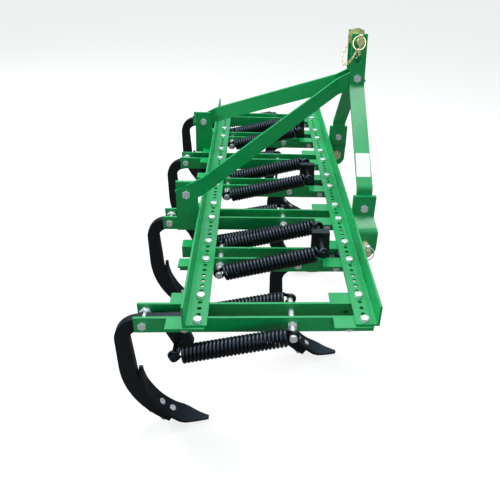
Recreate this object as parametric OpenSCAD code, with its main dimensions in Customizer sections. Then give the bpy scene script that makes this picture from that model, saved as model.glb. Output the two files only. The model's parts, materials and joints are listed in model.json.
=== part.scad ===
// Seven-tine spring-loaded cultivator for a three-point hitch.
// X points forward to the tractor, Y to the left, Z up. The origin is on the
// ground under the middle of the machine, which stands on its share tips.

/* [Crossbars] */
// Distance between neighbouring holes along a crossbar
pitch = 26.5; // [24:0.5:28]
// Number of hole pitches from the first bolt to the last
pitch_count = 66; // [66:1:68]
// Crossbar length beyond its first and last hole
bar_margin = 18; // [12:1:30]
// Distance between the bolt lines of the two crossbars
bolt_lines = 454; // [440:1:480]
// Width of each leg of the crossbar angle
angle_w = 65; // [60:1:70]
// Thickness of the crossbar angle
angle_t = 6; // [5:0.5:8]
// Radius inside the corner of the angle
angle_r = 7; // [3:0.5:9]
// Bolt line to the outer face of the upright leg
bolt_edge = 39; // [36:1:42]
// Diameter of the holes for the cleat bolts
hole_d = 13; // [11:0.5:15]

/* [Tine carriers] */
// Height of a carrier bar
carrier_h = 50; // [48:1:56]
// Thickness of a carrier bar
carrier_t = 8; // [6:0.5:10]
// Clear gap between the two bars of a carrier
carrier_gap = 53; // [48:1:56]
// Carrier bar behind the pivot bolt of a rear tine
rear_overhang = 23; // [20:1:40]
// Rear end of a front tine's carrier behind the rear bolt line
front_overhang = 50; // [44:1:80]
// Step from the front face of the front crossbar back to the bar's end
carrier_step = 4; // [0:1:10]

/* [Cleats] */
// Length of a cleat
cleat_len = 105; // [95:1:110]
// Cleat ahead of its vertical bolt
cleat_nose = 20; // [16:1:20]
// Width of the cleat's flat leg
cleat_w = 44; // [40:1:46]
// Height of the cleat's upright leg
cleat_h = 42; // [36:1:46]
// Thickness of a cleat
cleat_t = 6; // [4:0.5:7]
// Vertical bolt back to the horizontal bolt of a cleat
cleat_bolt_back = 38; // [34:1:48]
// Horizontal bolt of a cleat above the bottom of the carrier bar
cleat_bolt_rise = 19; // [14:1:28]

/* [Tine pivots] */
// Pivot of a rear tine behind the rear bolt line
rear_pivot = 152; // [145:1:165]
// Pivot of a front tine ahead of the rear bolt line
front_pivot = 292; // [284:1:296]
// Diameter of the pivot bolt
pivot_d = 14; // [12:0.5:18]
// Distance across the flats of the pivot bolt's head and its end nut
pivot_head = 21; // [18:1:27]
// Distance across the flats of the nuts beside the shank
pivot_flats = 27; // [24:1:30]
// Radial clearance of the shank on its bolt
pivot_gap = 0.05; // [0.03:0.01:0.1]

/* [Shanks] */
// Thickness of a shank from side to side
shank_t = 25; // [20:1:30]
// Depth of the shank's arm above its pivot
arm_top = 5; // [3:0.5:8]
// Depth of the arm below its pivot
arm_bottom = 22; // [20:0.5:24]
// Length of the arm ahead of the pivot
arm_len = 166; // [160:1:172]
// Length of the heel that meets the crossbar
heel_len = 34; // [24:1:40]
// Radius of the shank's back at its upper bend
bend_r_out = 78.5; // [76:0.5:82]
// Radius inside the upper bend
bend_r_in = 37; // [34:0.5:40]
// Radius of the shank's back at its lower curve
bow_r_out = 279; // [275:1:285]
// Radius inside the lower curve
bow_r_in = 232; // [229:0.5:236]
// Centre of the lower curve ahead of the pivot
bow_x = 190.5; // [187:0.5:193]
// Centre of the lower curve below the pivot
bow_drop = 178; // [174:1:184]
// Angle at which the shank ends on its lower curve
bow_end = 237; // [234:0.5:240]

/* [Shares] */
// Radius of the share's back
share_r = 214.5; // [212:0.5:216]
// Thickness of a share
share_t = 11; // [8:0.5:13]
// Share's seat on the shank ahead of the pivot
share_seat_x = 8.7; // [7:0.1:11]
// Share's seat on the shank below the pivot
share_seat_drop = 335.1; // [332:0.1:338]
// Half the share's width at its widest
share_half = 33; // [28:1:38]
// Angle of the upper tip
share_top = 174; // [172:0.5:178]
// Angle of the lower tip
share_tip = 265; // [262:0.5:266]

/* [Springs] */
// Spring pin ahead of a rear tine's pivot
rear_pin_x = 88; // [84:1:92]
// Spring pin below a rear tine's pivot
rear_pin_drop = 66; // [62:1:70]
// Spring pin ahead of a front tine's pivot
front_pin_x = 71; // [68:1:74]
// Spring pin above a front tine's pivot
front_pin_rise = 79; // [76:1:82]
// Distance along the machine from a spring pin to its anchor rod
spring_run = 321; // [316:1:326]
// Number of turns of a spring
spring_turns = 25; // [20:1:27]
// Outer diameter of a spring
spring_d = 39; // [36:0.5:42]
// Diameter of the spring's wire
wire_d = 10.4; // [9:0.1:11]
// Middle of the tine to the middle of a spring
spring_side = 82; // [78:1:86]
// Diameter of the spring pins and anchor rods
rod_d = 16; // [14:0.5:18]
// Spring pin beyond the middle of its spring
rod_end = 15; // [13:0.5:18]
// Width of a spring lever
lever_w = 56; // [50:1:60]
// Front lever above the pivot
lever_rise = 109; // [104:1:114]
// Rear lever below the pivot
lever_drop = 97; // [92:1:102]

/* [Hitch] */
// Width of the flat bar of the mast and braces
flat_w = 55; // [50:1:58]
// Thickness of that flat bar
flat_t = 10; // [8:0.5:12]
// Middle of the machine to the middle of a mast plate
mast_side = 37; // [34:1:42]
// Mast top above the top link pin
mast_lip = 23; // [18:1:40]
// Bend of the mast leg below its brace bolt
mast_bend_drop = 29; // [25:1:36]
// Lower bend of the mast leg above the crossbars
foot_bend = 136; // [128:1:142]
// Foot of the mast leg above the crossbars
foot_low = 42; // [34:1:48]
// Hitch bolt ahead of the front bolt line
hitch_bolt_x = 80; // [74:1:84]
// Hitch bolt above the crossbars
hitch_bolt_z = 68; // [64:1:74]
// Mast lean: top pin behind the hitch bolt
mast_back = 18; // [10:1:26]
// Lower top-link hole below the top link pin
low_hole_drop = 66; // [60:1:75]
// Brace bolt of the mast below the top link pin
mast_bolt_drop = 130; // [125:1:135]
// Lower hitch pins below the crossbars' top
low_pin_drop = 45; // [40:1:50]
// Radius of the bends of the flat bars and brackets
bend_r = 22; // [15:1:30]
// Diameter of the disc on the top link pin
disc_d = 62; // [50:1:64]
// Thickness of that disc
disc_t = 5; // [3:1:8]
// Diameter of the top link pin
top_pin_d = 25; // [19:0.5:26]
// Distance between the shoulders of the lower hitch pins
hitch_spread = 825; // [820:1:830]
// Top link pin above the lower hitch pins
mast_height = 610; // [600:1:620]
// Diameter of a lower hitch pin
low_pin_d = 28; // [22:0.5:29]
// Diameter of that pin's stud in its bracket
low_stud_d = 24; // [18:0.5:26]
// Free length of a lower hitch pin
low_pin_len = 62; // [55:1:70]
// Top link pin beyond the right mast plate
top_pin_reach = 28; // [24:1:40]
// Diameter of the holes for the linch pins
linch_d = 10; // [8:0.5:11]
// Middle of those holes from the pins' ends
linch_back = 12; // [10:1:16]
// Thickness of a hitch bracket
hitch_t = 14; // [12:0.5:16]
// Width of a hitch bracket
hitch_w = 80; // [76:1:86]
// Top of a hitch bracket above the crossbars
hitch_top = 114; // [108:1:120]
// Upper bend of a hitch bracket above the crossbars
joggle_top = 32; // [28:1:36]
// Lower bend of a hitch bracket above the crossbars
joggle_low = 2; // [-4:1:6]
// Sideways step of a hitch bracket
joggle = 56; // [50:1:62]
// Hitch bolt line from the bracket's rear edge to its front bulge
hitch_bulge = 89; // [86:1:92]
// Diameter of the bolts of the hitch
hitch_bolt_d = 16; // [14:0.5:18]

/* [Braces] */
// Brace plate farther out than the hitch bracket's foot
brace_out = 3; // [2:0.5:8]
// Thickness of a brace plate
brace_plate_t = 12; // [10:0.5:14]
// Brace bolt behind the rear bolt line
brace_bolt_x = 77; // [72:1:84]
// Brace bolt above the crossbars
brace_bolt_z = 120; // [112:1:124]
// Brace plate above the crossbars
brace_plate_top = 161; // [156:1:166]
// Brace plate below the crossbars' top
brace_plate_low = 24; // [20:1:26]
// Width of a brace plate
brace_plate_w = 78; // [74:1:84]
// Straight part of a brace from its bolt to its bend
brace_flat = 54; // [50:1:60]
// End of a brace beyond its bolt
brace_end = 28; // [24:1:40]

/* [Hidden] */
$fn = 48;

frame_green = "#0f8a3f";
tine_black = "#1b1b1d";
bolt_silver = "#c9ced2";
pin_yellow = "#c9b04a";

seat = 0.3;      // running clearance between moving faces
eps = 1;         // overrun of a cutting tool
share_steps = 26; // flats along a share's curve

// Tines: carrier's place in pitches from the middle, and 1 for a front tine.
PLACE = 0;
IS_FRONT = 1;
TINES = [[-31, 0], [-20, 1], [-10, 0], [0, 1], [10, 0], [20, 1], [31, 0]];

// The share's curve passes through its seat on the shank.
share_seat_a = 217;
share_x = share_seat_x - share_r * cos(share_seat_a);
share_drop = share_seat_drop + share_r * sin(share_seat_a);

// Heights of the hitch above the crossbars' top.
top_pin_z = mast_height - low_pin_drop;
mast_top = top_pin_z + mast_lip;
low_hole_z = top_pin_z - low_hole_drop;
mast_bolt_z = top_pin_z - mast_bolt_drop;
mast_bend = mast_bolt_z - mast_bend_drop;
brace_side = hitch_plate_y() + brace_out;

// Heights. The share tips stand on the ground.
tip_drop = share_drop - share_r * sin(share_tip);
pivot_z = tip_drop;
deck_z = pivot_z + carrier_h / 2 + angle_t;    // top of the crossbars' flat legs
under_z = deck_z - angle_t;                    // their underside

// Lengths. The origin is midway between the shanks' backs and the brackets' bulge.
x_back = -rear_pivot + bow_x - bow_r_out;
x_front = bolt_lines + bolt_edge + hitch_bulge;
rear_x = -(x_back + x_front) / 2;              // rear bolt line
front_x = rear_x + bolt_lines;                 // front bolt line
face_rear = rear_x - bolt_edge;                // outer faces of the crossbars
face_front = front_x + bolt_edge;
bar_len = pitch_count * pitch + 2 * bar_margin;

bar_side = (carrier_gap + carrier_t) / 2;      // middle of a bar from its tine
bar_out = carrier_gap / 2 + carrier_t;         // outer face of a bar from its tine
cleat_side = 2 * pitch;                        // cleat bolts from their tine

spring_r = (spring_d - wire_d) / 2;            // coil's middle radius
hook_r = rod_d / 2 + wire_d / 2 + seat;        // hook's middle radius
coil_gap = hook_r + wire_d / 2 + 4;            // pin to the coil's first turn
arm_root = 26;                                 // bend's centre to the straight underside of the arm

function tine_y(i) = TINES[i][PLACE] * pitch;
function is_front(i) = TINES[i][IS_FRONT] == 1;
function pivot_x(i) = rear_x + (is_front(i) ? front_pivot : -rear_pivot);
function pin_dx(i) = is_front(i) ? front_pin_x : rear_pin_x;
function pin_dz(i) = is_front(i) ? front_pin_rise : -rear_pin_drop;
function anchor_dx(i) = pin_dx(i) + (is_front(i) ? -spring_run : spring_run);

function arc(cx, cy, r, a0, a1, n) =
    [for (k = [0:n]) let (a = a0 + (a1 - a0) * k / n) [cx + r * cos(a), cy + r * sin(a)]];

// Side outline of a bent strip: its middle line shifted to both sides.
function unit(v) = v / norm(v);
function side_of(v) = [-v[1], v[0]];
function miter(path, k) =
    k == 0 ? side_of(unit(path[1] - path[0])) :
    k == len(path) - 1 ? side_of(unit(path[k] - path[k - 1])) :
    let (m = side_of(unit(path[k] - path[k - 1])), n = side_of(unit(path[k + 1] - path[k])))
    (m + n) / (1 + m * n);
function strip(path, t) = concat(
    [for (k = [0:len(path) - 1]) path[k] + miter(path, k) * t / 2],
    [for (k = [len(path) - 1:-1:0]) path[k] - miter(path, k) * t / 2]);

// Arc of radius r that rounds the corner b between a and c, and a path with each corner so rounded.
function corner_arc(a, b, c, r, n) =
    let (u = unit(a - b), v = unit(c - b), half = acos(u * v) / 2,
         m = b + unit(u + v) * r / sin(half), p = b + u * r / tan(half), q = b + v * r / tan(half),
         a0 = atan2(p[1] - m[1], p[0] - m[0]), turn = atan2(q[1] - m[1], q[0] - m[0]) - a0)
    arc(m[0], m[1], r, a0, a0 + (turn > 180 ? turn - 360 : turn < -180 ? turn + 360 : turn), n);
function eased(path, r = bend_r, n = 6) = concat([path[0]],
    [for (k = [1:len(path) - 2]) each corner_arc(path[k - 1], path[k], path[k + 1], r, n)],
    [path[len(path) - 1]]);

// Prism along Y of an outline drawn in X and Z, centred on y.
module along_y(y, w) {
    translate([0, y + w / 2, 0]) rotate([90, 0, 0]) linear_extrude(w) children();
}

// Prism along X of an outline drawn in Y and Z, from x0 to x1.
module along_x(x0, x1) {
    translate([x0, 0, 0]) rotate([90, 0, 90]) linear_extrude(x1 - x0) children();
}

// Round bar along Y from y0 to y1.
module round_y(x, z, d, y0, y1) {
    translate([x, y1, z]) rotate([90, 0, 0]) cylinder(d = d, h = y1 - y0);
}

// Hexagon along Y from y0 to y1, given across its flats.
module hex_y(x, z, flats, y0, y1) {
    translate([x, y1, z]) rotate([90, 30, 0]) cylinder(d = flats / cos(30), h = y1 - y0, $fn = 6);
}

module upright(x, y, d, z0, z1) {
    translate([x, y, z0]) cylinder(d = d, h = z1 - z0);
}

// Crossbars

// side is 1 where the upright leg is at the front of the bar, -1 where at the rear.
module crossbar(x, side) {
    outer = side * bolt_edge;
    inner = side * (bolt_edge - angle_t);
    toe = side * (bolt_edge - angle_w);
    corner = [for (p = arc(0, 0, angle_r, -90, 0, 6)) [inner - side * (angle_r - p[0]), angle_r + p[1]]];
    color(frame_green) difference() {
        along_y(0, bar_len) translate([x, deck_z]) polygon(concat(
            [[toe, 0]], corner,
            [[inner, angle_w - angle_t], [outer, angle_w - angle_t], [outer, -angle_t], [toe, -angle_t]]));
        for (k = [-pitch_count / 2:pitch_count / 2])
            upright(x, k * pitch, hole_d, under_z - eps, deck_z + eps);
    }
}

// Carriers and cleats

module carrier(i) {
    y = tine_y(i);
    x0 = is_front(i) ? rear_x - front_overhang : pivot_x(i) - rear_overhang;
    x1 = face_front - carrier_step;
    color(frame_green) difference() {
        for (s = [-1, 1]) translate([x0, y + s * bar_side - carrier_t / 2, under_z - carrier_h])
            cube([x1 - x0, carrier_t, carrier_h]);
        round_y(pivot_x(i), pivot_z, pivot_d + 2 * seat, y - bar_out - eps, y + bar_out + eps);
        round_y(pivot_x(i) + anchor_dx(i), pivot_z, rod_d + 2 * seat, y - bar_out - eps, y + bar_out + eps);
        for (x = [rear_x, front_x])
            round_y(x - cleat_bolt_back, cleat_bolt_z(), hole_d, y - bar_out - eps, y + bar_out + eps);
    }
}

function cleat_bolt_z() = under_z - carrier_h + cleat_bolt_rise;

// Angle cleat on the outer side of a bar, side -1 to the right and 1 to the left.
module cleat(x, y, side) {
    z = under_z;
    y0 = y + side * bar_out;
    difference() {
        along_x(x + cleat_nose - cleat_len, x + cleat_nose) polygon([
            [y0, z], [y0 + side * cleat_w, z], [y0 + side * cleat_w, z - cleat_t],
            [y0 + side * cleat_t, z - cleat_t], [y0 + side * cleat_t, z - cleat_h], [y0, z - cleat_h]]);
        upright(x, y + side * cleat_side, hole_d, z - cleat_t - eps, z + eps);
        round_y(x - cleat_bolt_back, cleat_bolt_z(), hole_d, y0 - cleat_t - eps, y0 + cleat_t + eps);
    }
}

module cleats(x) {
    color(frame_green) for (i = [0:len(TINES) - 1], side = [-1, 1]) cleat(x, tine_y(i), side);
}

// Pivot bolt with its head, nut and the nuts that hold the shank in the middle.
module pivot_bolts() {
    head = pivot_d * 0.6;
    color(bolt_silver) for (i = [0:len(TINES) - 1]) {
        y = tine_y(i);
        x = pivot_x(i);
        union() {
            round_y(x, pivot_z, pivot_d, y - bar_out - head, y + bar_out + 2 * head);
            hex_y(x, pivot_z, pivot_head, y - bar_out - head, y - bar_out);
            hex_y(x, pivot_z, pivot_head, y + bar_out, y + bar_out + head);
            hex_y(x, pivot_z, pivot_flats, y - carrier_gap / 2, y - shank_t / 2 - seat);
            hex_y(x, pivot_z, pivot_flats, y + shank_t / 2 + seat, y + carrier_gap / 2);
        }
    }
}

// Rod with a head at each end, which carries two spring hooks.
module spring_rod(x, z, y, flats) {
    reach = spring_side + rod_end;
    head = rod_end - wire_d / 2 - 1;
    round_y(x, z, rod_d, y - reach, y + reach);
    for (s = [-1, 1]) round_y(x, z, flats, y + s * (reach - head / 2) - head / 2, y + s * (reach - head / 2) + head / 2);
}

module anchor_rods() {
    nut = rod_d * 0.8;
    head = rod_d + 5;
    color(bolt_silver) for (i = [0:len(TINES) - 1]) {
        y = tine_y(i);
        x = pivot_x(i) + anchor_dx(i);
        union() {
            spring_rod(x, pivot_z, y, head);
            hex_y(x, pivot_z, rod_d * 1.5, y - bar_out - nut, y - bar_out);
            hex_y(x, pivot_z, rod_d * 1.5, y + bar_out, y + bar_out + nut);
        }
    }
}

// Tines

// Side outline of the shank with the pivot at its origin.
module shank_outline() {
    heel_top = pivot_rise() - seat;
    bend_cx = bend_r_out - (bow_r_out - bow_x);
    bend_cz = arm_top - bend_r_out;
    difference() {
        polygon(concat(
            [[arm_len, heel_top], [arm_len - heel_len, heel_top], [arm_len - heel_len - 8, arm_top + 7]],
            arc(bend_cx, bend_cz, bend_r_out, 90, 180, 12),
            arc(bow_x, -bow_drop, bow_r_out, 180, bow_end, 16),
            arc(bow_x, -bow_drop, bow_r_in, bow_end, 180, 16),
            arc(bend_cx, bend_cz, bend_r_in, 180, 90, 8),
            [[bend_cx + arm_root, -arm_bottom], [arm_len - heel_len, -arm_bottom], [arm_len, -arm_bottom / 2]]));
        polygon(concat([[share_x, -share_drop]], share_arc(share_r, 4)));
    }
}

function pivot_rise() = carrier_h / 2;

module shank(i) {
    color(tine_black) translate([pivot_x(i), 0, pivot_z]) difference() {
        along_y(tine_y(i), shank_t) shank_outline();
        round_y(0, 0, pivot_d + 2 * pivot_gap, tine_y(i) - shank_t, tine_y(i) + shank_t);
    }
}

// Arc of a share's face at radius r, with some steps beyond its lower tip.
function share_arc(r, beyond) = arc(share_x, -share_drop, r, share_top,
    share_top + (share_tip - share_top) * (share_steps + beyond) / share_steps, share_steps + beyond);
function backwards(list) = [for (k = [len(list) - 1:-1:0]) list[k]];

// Curved double-ended point: a bent plate cut to a leaf.
module share(i) {
    mid = (share_top + share_tip) / 2;
    half = share_r * sin((share_tip - share_top) / 2);
    color(tine_black) translate([pivot_x(i), tine_y(i), pivot_z]) intersection() {
        along_y(0, 2 * share_half + eps)
            polygon(concat(share_arc(share_r, 0), backwards(share_arc(share_r - share_t, 0))));
        translate([share_x, 0, -share_drop]) rotate([0, -mid, 0]) rotate([0, 90, 0])
            linear_extrude(share_r * 1.1) share_leaf(half);
    }
}

// Leaf outline: x towards the upper tip, y across the machine.
module share_leaf(half) {
    polygon([
        [half, -2], [half, 2], [half * 0.72, share_half * 0.55], [half * 0.35, share_half * 0.85],
        [-half * 0.3, share_half * 0.92], [-half * 0.5, share_half], [-half * 0.62, share_half * 0.9],
        [-half, 2], [-half, -2],
        [-half * 0.62, -share_half * 0.9], [-half * 0.5, -share_half], [-half * 0.3, -share_half * 0.92],
        [half * 0.35, -share_half * 0.85], [half * 0.72, -share_half * 0.55]]);
}

// Spring lever with its pin: above the arm of a front tine, below that of a rear tine.
module lever(i) {
    px = pin_dx(i);
    pz = pin_dz(i);
    x0 = px - lever_w / 2;
    x1 = px + lever_w / 2;
    color(tine_black) translate([pivot_x(i), 0, pivot_z]) union() {
        along_y(tine_y(i), shank_t)
            if (is_front(i)) polygon([[x0, arm_top + 8], [x0, lever_rise], [x1, lever_rise], [x1 + 4, arm_top + 8]]);
            else polygon([[x0 - 13, -arm_bottom], [x0 + 18, -lever_drop + 3], [x0 + 24, -lever_drop],
                [x1 + 10, -lever_drop], [x1 + 16, -lever_drop + 7], [x1 + 3, -arm_bottom - 25],
                [x1 - 3, -arm_bottom]]);
        spring_rod(px, pz, tine_y(i), rod_d + 6);
    }
}

// One close-coiled spring along +X from the pin at the origin, len_hooks long.
module spring(len_hooks) {
    step = (len_hooks - 2 * coil_gap - wire_d) / (spring_turns - 1);
    rotate([0, 90, 0]) rotate_extrude($fn = 32) for (k = [0:spring_turns - 1])
        translate([spring_r, coil_gap + wire_d / 2 + k * step]) circle(d = step + seat, $fn = 16);
    for (end = [0, 1]) translate([end * len_hooks, 0, 0]) rotate([0, 0, end * 180]) spring_hook();
}

// Open eye round the rod and the wire that joins it to the coil's top.
module spring_hook() {
    rotate([90, 0, 0]) rotate_extrude(angle = 250, start = 90, $fn = 32)
        translate([hook_r, 0]) circle(d = wire_d, $fn = 16);
    translate([0, 0, hook_r]) rotate([0, 90, 0]) cylinder(d = wire_d, h = coil_gap + wire_d / 2, $fn = 16);
}

module springs(i) {
    dx = anchor_dx(i) - pin_dx(i);
    dz = -pin_dz(i);
    color(tine_black) for (s = [-1, 1])
        translate([pivot_x(i) + pin_dx(i), tine_y(i) + s * spring_side, pivot_z + pin_dz(i)])
            rotate([0, -atan2(dz, dx), 0]) spring(norm([dx, dz]));
}

// Hitch

mast_foot_x = front_x + hitch_bolt_x;
function mast_leg_y() = hitch_plate_y() - (flat_t + hitch_t) / 2;
function hitch_plate_y() = hitch_low_y() - joggle;
function hitch_low_y() = hitch_spread / 2 - hitch_t / 2;
function mast_x(z) = mast_foot_x - mast_back * (z - hitch_bolt_z) / (top_pin_z - hitch_bolt_z);

// side is -1 to the right and 1 to the left.
module mast_leg(side) {
    z_low = foot_low;
    color(frame_green) difference() {
        intersection() {
            along_x(front_x, front_x + 2 * hitch_bolt_x) translate([0, deck_z]) polygon(strip(eased([
                [side * mast_side, mast_top], [side * mast_side, mast_bend],
                [side * mast_leg_y(), foot_bend], [side * mast_leg_y(), z_low]]), flat_t));
            along_y(0, 2 * hitch_spread) translate([0, deck_z]) polygon([
                [mast_x(z_low) - flat_w / 2, z_low], [mast_x(z_low) + flat_w / 2, z_low],
                [mast_x(mast_top) + flat_w / 2, mast_top], [mast_x(mast_top) - flat_w / 2, mast_top]]);
        }
        for (h = [[top_pin_z, top_pin_d + 1], [low_hole_z, top_pin_d + 1], [mast_bolt_z, hitch_bolt_d + 1],
                [hitch_bolt_z, hitch_bolt_d + 1]])
            round_y(mast_x(h[0]), deck_z + h[0], h[1], -hitch_spread, hitch_spread);
    }
}

// Bracket that stands on the front crossbar's face and steps out to the lower pin.
module hitch_bracket(side) {
    pin_z = top_pin_z - mast_height;
    x0 = face_front;
    x1 = x0 + hitch_w;
    x2 = x0 + hitch_bulge;
    r = hitch_w / 2;
    color(frame_green) difference() {
        intersection() {
            along_x(x0, x2) translate([0, deck_z]) polygon(strip(eased([
                [side * hitch_plate_y(), hitch_top], [side * hitch_plate_y(), joggle_top],
                [side * hitch_low_y(), joggle_low], [side * hitch_low_y(), pin_z - r - 14]]), hitch_t));
            along_y(0, 2 * hitch_spread) translate([0, deck_z]) polygon(concat(
                [[x0, hitch_top], [x1, hitch_top], [x1, joggle_top], [x2, joggle_low], [x2, pin_z - 14]],
                arc(x2 - r, pin_z - 14, r, 0, -180, 12),
                [[x2 - 2 * r, joggle_low], [x0, joggle_top]]));
        }
        round_y(hitch_pin_x(), deck_z + pin_z, low_stud_d, -hitch_spread, hitch_spread);
        round_y(mast_x(hitch_bolt_z), deck_z + hitch_bolt_z, hitch_bolt_d + 1, -hitch_spread, hitch_spread);
    }
}

function hitch_pin_x() = face_front + hitch_bulge - hitch_w / 2 - 3;

// Lower hitch pin with a collar inside its bracket and a cross hole for its retaining pin.
module hitch_pin(side) {
    z = deck_z + top_pin_z - mast_height;
    shoulder = hitch_spread / 2;
    collar = 16;
    y_in = shoulder - hitch_t - collar;
    y_out = shoulder + low_pin_len;
    color(pin_yellow) difference() {
        union() {
            round_y(hitch_pin_x(), z, low_stud_d, min(side * y_in, side * y_out), max(side * y_in, side * y_out));
            round_y(hitch_pin_x(), z, low_pin_d, min(side * shoulder, side * y_out), max(side * shoulder, side * y_out));
            hex_y(hitch_pin_x(), z, low_pin_d * 1.5, min(side * y_in, side * (y_in + collar)),
                max(side * y_in, side * (y_in + collar)));
        }
        upright(hitch_pin_x(), side * (y_out - linch_back), linch_d, z - low_pin_d, z + low_pin_d);
    }
}

// Top link pin with its round head on the left and a disc between the plates.
module top_link_pin() {
    y_out = mast_side + flat_t / 2;
    y_in = mast_side - flat_t / 2 - seat;
    x = mast_x(top_pin_z);
    z = deck_z + top_pin_z;
    color(pin_yellow) difference() {
        union() {
            round_y(x, z, top_pin_d, -y_out - top_pin_reach, y_out + 8);
            round_y(x, z, top_pin_d * 1.5, y_out, y_out + 8);
            round_y(x, z, disc_d, y_in - disc_t, y_in);
        }
        upright(x, -y_out - top_pin_reach + linch_back, linch_d, z - top_pin_d, z + top_pin_d);
    }
}

// Through bolts of the mast, its feet and the brace plates.
module hitch_bolts() {
    head = 9;
    flats = 24;
    foot_in = mast_leg_y() - flat_t / 2;
    foot_out = hitch_plate_y() + hitch_t / 2;
    plate_in = brace_side - brace_plate_t / 2;
    flat_out = brace_rear_y() + flat_t / 2;
    top = mast_side + flat_t / 2;
    color(bolt_silver) for (side = [-1, 1]) {
        bolt_y(mast_x(hitch_bolt_z), deck_z + hitch_bolt_z, side, foot_in, foot_out, head, flats);
        bolt_y(rear_x - brace_bolt_x, deck_z + brace_bolt_z, side, plate_in, flat_out, head, flats);
        bolt_y(mast_x(mast_bolt_z), deck_z + mast_bolt_z, side, top - 2 * flat_t, top, head, flats);
    }
}

// Bolt through from y_in to y_out on one side, with a head outside and a nut inside.
module bolt_y(x, z, side, y_in, y_out, head, flats) {
    a = side * (y_in - head);
    b = side * (y_out + head);
    union() {
        round_y(x, z, hitch_bolt_d, min(a, b), max(a, b));
        hex_y(x, z, flats, min(a, side * y_in), max(a, side * y_in));
        hex_y(x, z, flats, min(side * y_out, b), max(side * y_out, b));
    }
}

// Braces

function brace_rear_y() = brace_side + (brace_plate_t + flat_t) / 2;
function brace_front_y() = mast_side - flat_t;

module brace_plate(side) {
    x0 = face_rear - brace_plate_w;
    color(frame_green) difference() {
        along_y(side * brace_side, brace_plate_t) translate([0, deck_z]) polygon([
            [x0, -brace_plate_low], [face_rear, -brace_plate_low], [face_rear, angle_w],
            [face_rear - 6, brace_plate_top], [x0 + 6, brace_plate_top]]);
        round_y(rear_x - brace_bolt_x, deck_z + brace_bolt_z, hitch_bolt_d + 1, -hitch_spread, hitch_spread);
    }
}

// Flat brace: a bent strip in plan, cut to a slanting strip from the side.
module brace(side) {
    xa = rear_x - brace_bolt_x;
    xb = mast_x(mast_bolt_z);
    slope = (mast_bolt_z - brace_bolt_z) / (xb - xa);
    dir = unit([1, slope]);
    a = [xa, deck_z + brace_bolt_z] - dir * brace_end;
    b = [xb, deck_z + mast_bolt_z] + dir * brace_end * 0.9;
    color(frame_green) difference() {
        intersection() {
            translate([0, 0, deck_z]) linear_extrude(mast_top) polygon(strip(eased([
                [xa - 2 * brace_end, side * brace_rear_y()], [xa + brace_flat, side * brace_rear_y()],
                [xb - 1.25 * brace_flat, side * brace_front_y()], [xb + 2 * brace_end, side * brace_front_y()]]),
                flat_t));
            along_y(0, 2 * hitch_spread) polygon(strip([a, b], flat_w));
        }
        round_y(xa, deck_z + brace_bolt_z, hitch_bolt_d + 1, -hitch_spread, hitch_spread);
        round_y(xb, deck_z + mast_bolt_z, hitch_bolt_d + 1, -hitch_spread, hitch_spread);
    }
}

crossbar(rear_x, -1);  // crossbar_rear
crossbar(front_x, 1);  // crossbar_front
cleats(rear_x);  // cleats_rear
cleats(front_x);  // cleats_front
pivot_bolts();
anchor_rods();
brace_plate(-1);  // brace_plate_right
brace_plate(1);  // brace_plate_left
brace(-1);  // brace_right
brace(1);  // brace_left
mast_leg(-1);  // mast_leg_right
mast_leg(1);  // mast_leg_left
hitch_bracket(-1);  // hitch_bracket_right
hitch_bracket(1);  // hitch_bracket_left
hitch_pin(-1);  // hitch_pin_right
hitch_pin(1);  // hitch_pin_left
top_link_pin();
hitch_bolts();
for (i = [0:len(TINES) - 1]) {
    carrier(i);
    shank(i);
    share(i);
    lever(i);
    springs(i);
}
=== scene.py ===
"""Looks of a seven-tine spring-loaded cultivator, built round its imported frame."""
import json
import math

import bpy
from mathutils import Matrix, Vector


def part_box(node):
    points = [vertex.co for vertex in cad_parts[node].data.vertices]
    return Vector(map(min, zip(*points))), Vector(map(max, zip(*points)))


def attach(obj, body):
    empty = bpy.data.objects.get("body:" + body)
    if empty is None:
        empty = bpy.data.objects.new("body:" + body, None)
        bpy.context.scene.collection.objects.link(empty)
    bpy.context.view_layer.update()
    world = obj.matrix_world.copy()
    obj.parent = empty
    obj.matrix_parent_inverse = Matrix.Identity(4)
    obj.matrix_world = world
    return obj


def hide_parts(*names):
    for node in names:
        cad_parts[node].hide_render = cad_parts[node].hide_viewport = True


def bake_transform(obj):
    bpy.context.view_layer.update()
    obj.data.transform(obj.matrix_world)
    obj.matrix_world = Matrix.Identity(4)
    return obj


bl_info = {
    "name": "Spring-loaded cultivator",
    "version": (1, 0, 0),
    "blender": (4, 5, 0),
    "location": "View3D > Sidebar > Cultivator",
    "description": "Springs, fasteners, welds and finishes of a cultivator",
    "category": "Object",
}

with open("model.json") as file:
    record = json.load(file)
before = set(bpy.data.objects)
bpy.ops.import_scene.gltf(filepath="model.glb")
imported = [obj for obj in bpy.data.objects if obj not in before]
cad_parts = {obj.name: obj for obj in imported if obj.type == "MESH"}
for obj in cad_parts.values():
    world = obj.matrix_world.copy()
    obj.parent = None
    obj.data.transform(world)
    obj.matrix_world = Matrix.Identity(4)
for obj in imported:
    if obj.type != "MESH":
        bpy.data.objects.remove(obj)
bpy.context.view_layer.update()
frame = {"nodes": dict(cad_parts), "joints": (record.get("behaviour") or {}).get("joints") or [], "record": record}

MM = 0.001
RIGHT, LEFT = -1, 1

# Sizes of the solids that added pieces follow.
# Outer face of a crossbar to its holes, and its top to its flange's top:
HOLE_EDGE = 39 * MM
FLANGE_DROP = 59 * MM
# Thickness of a crossbar's flange and of a cleat's legs:
FLANGE_THICK = 6 * MM
CLEAT_THICK = 6 * MM
# Middle of a carrier to the inner and the outer faces of its bars:
BAR_INNER = 26.5 * MM
BAR_OUTER = 34.5 * MM
# Middle of a shank to its sides, and of the mast to its plates' outer faces:
HALF_SHANK = 12.5 * MM
MAST_OUTER = 42 * MM
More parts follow.
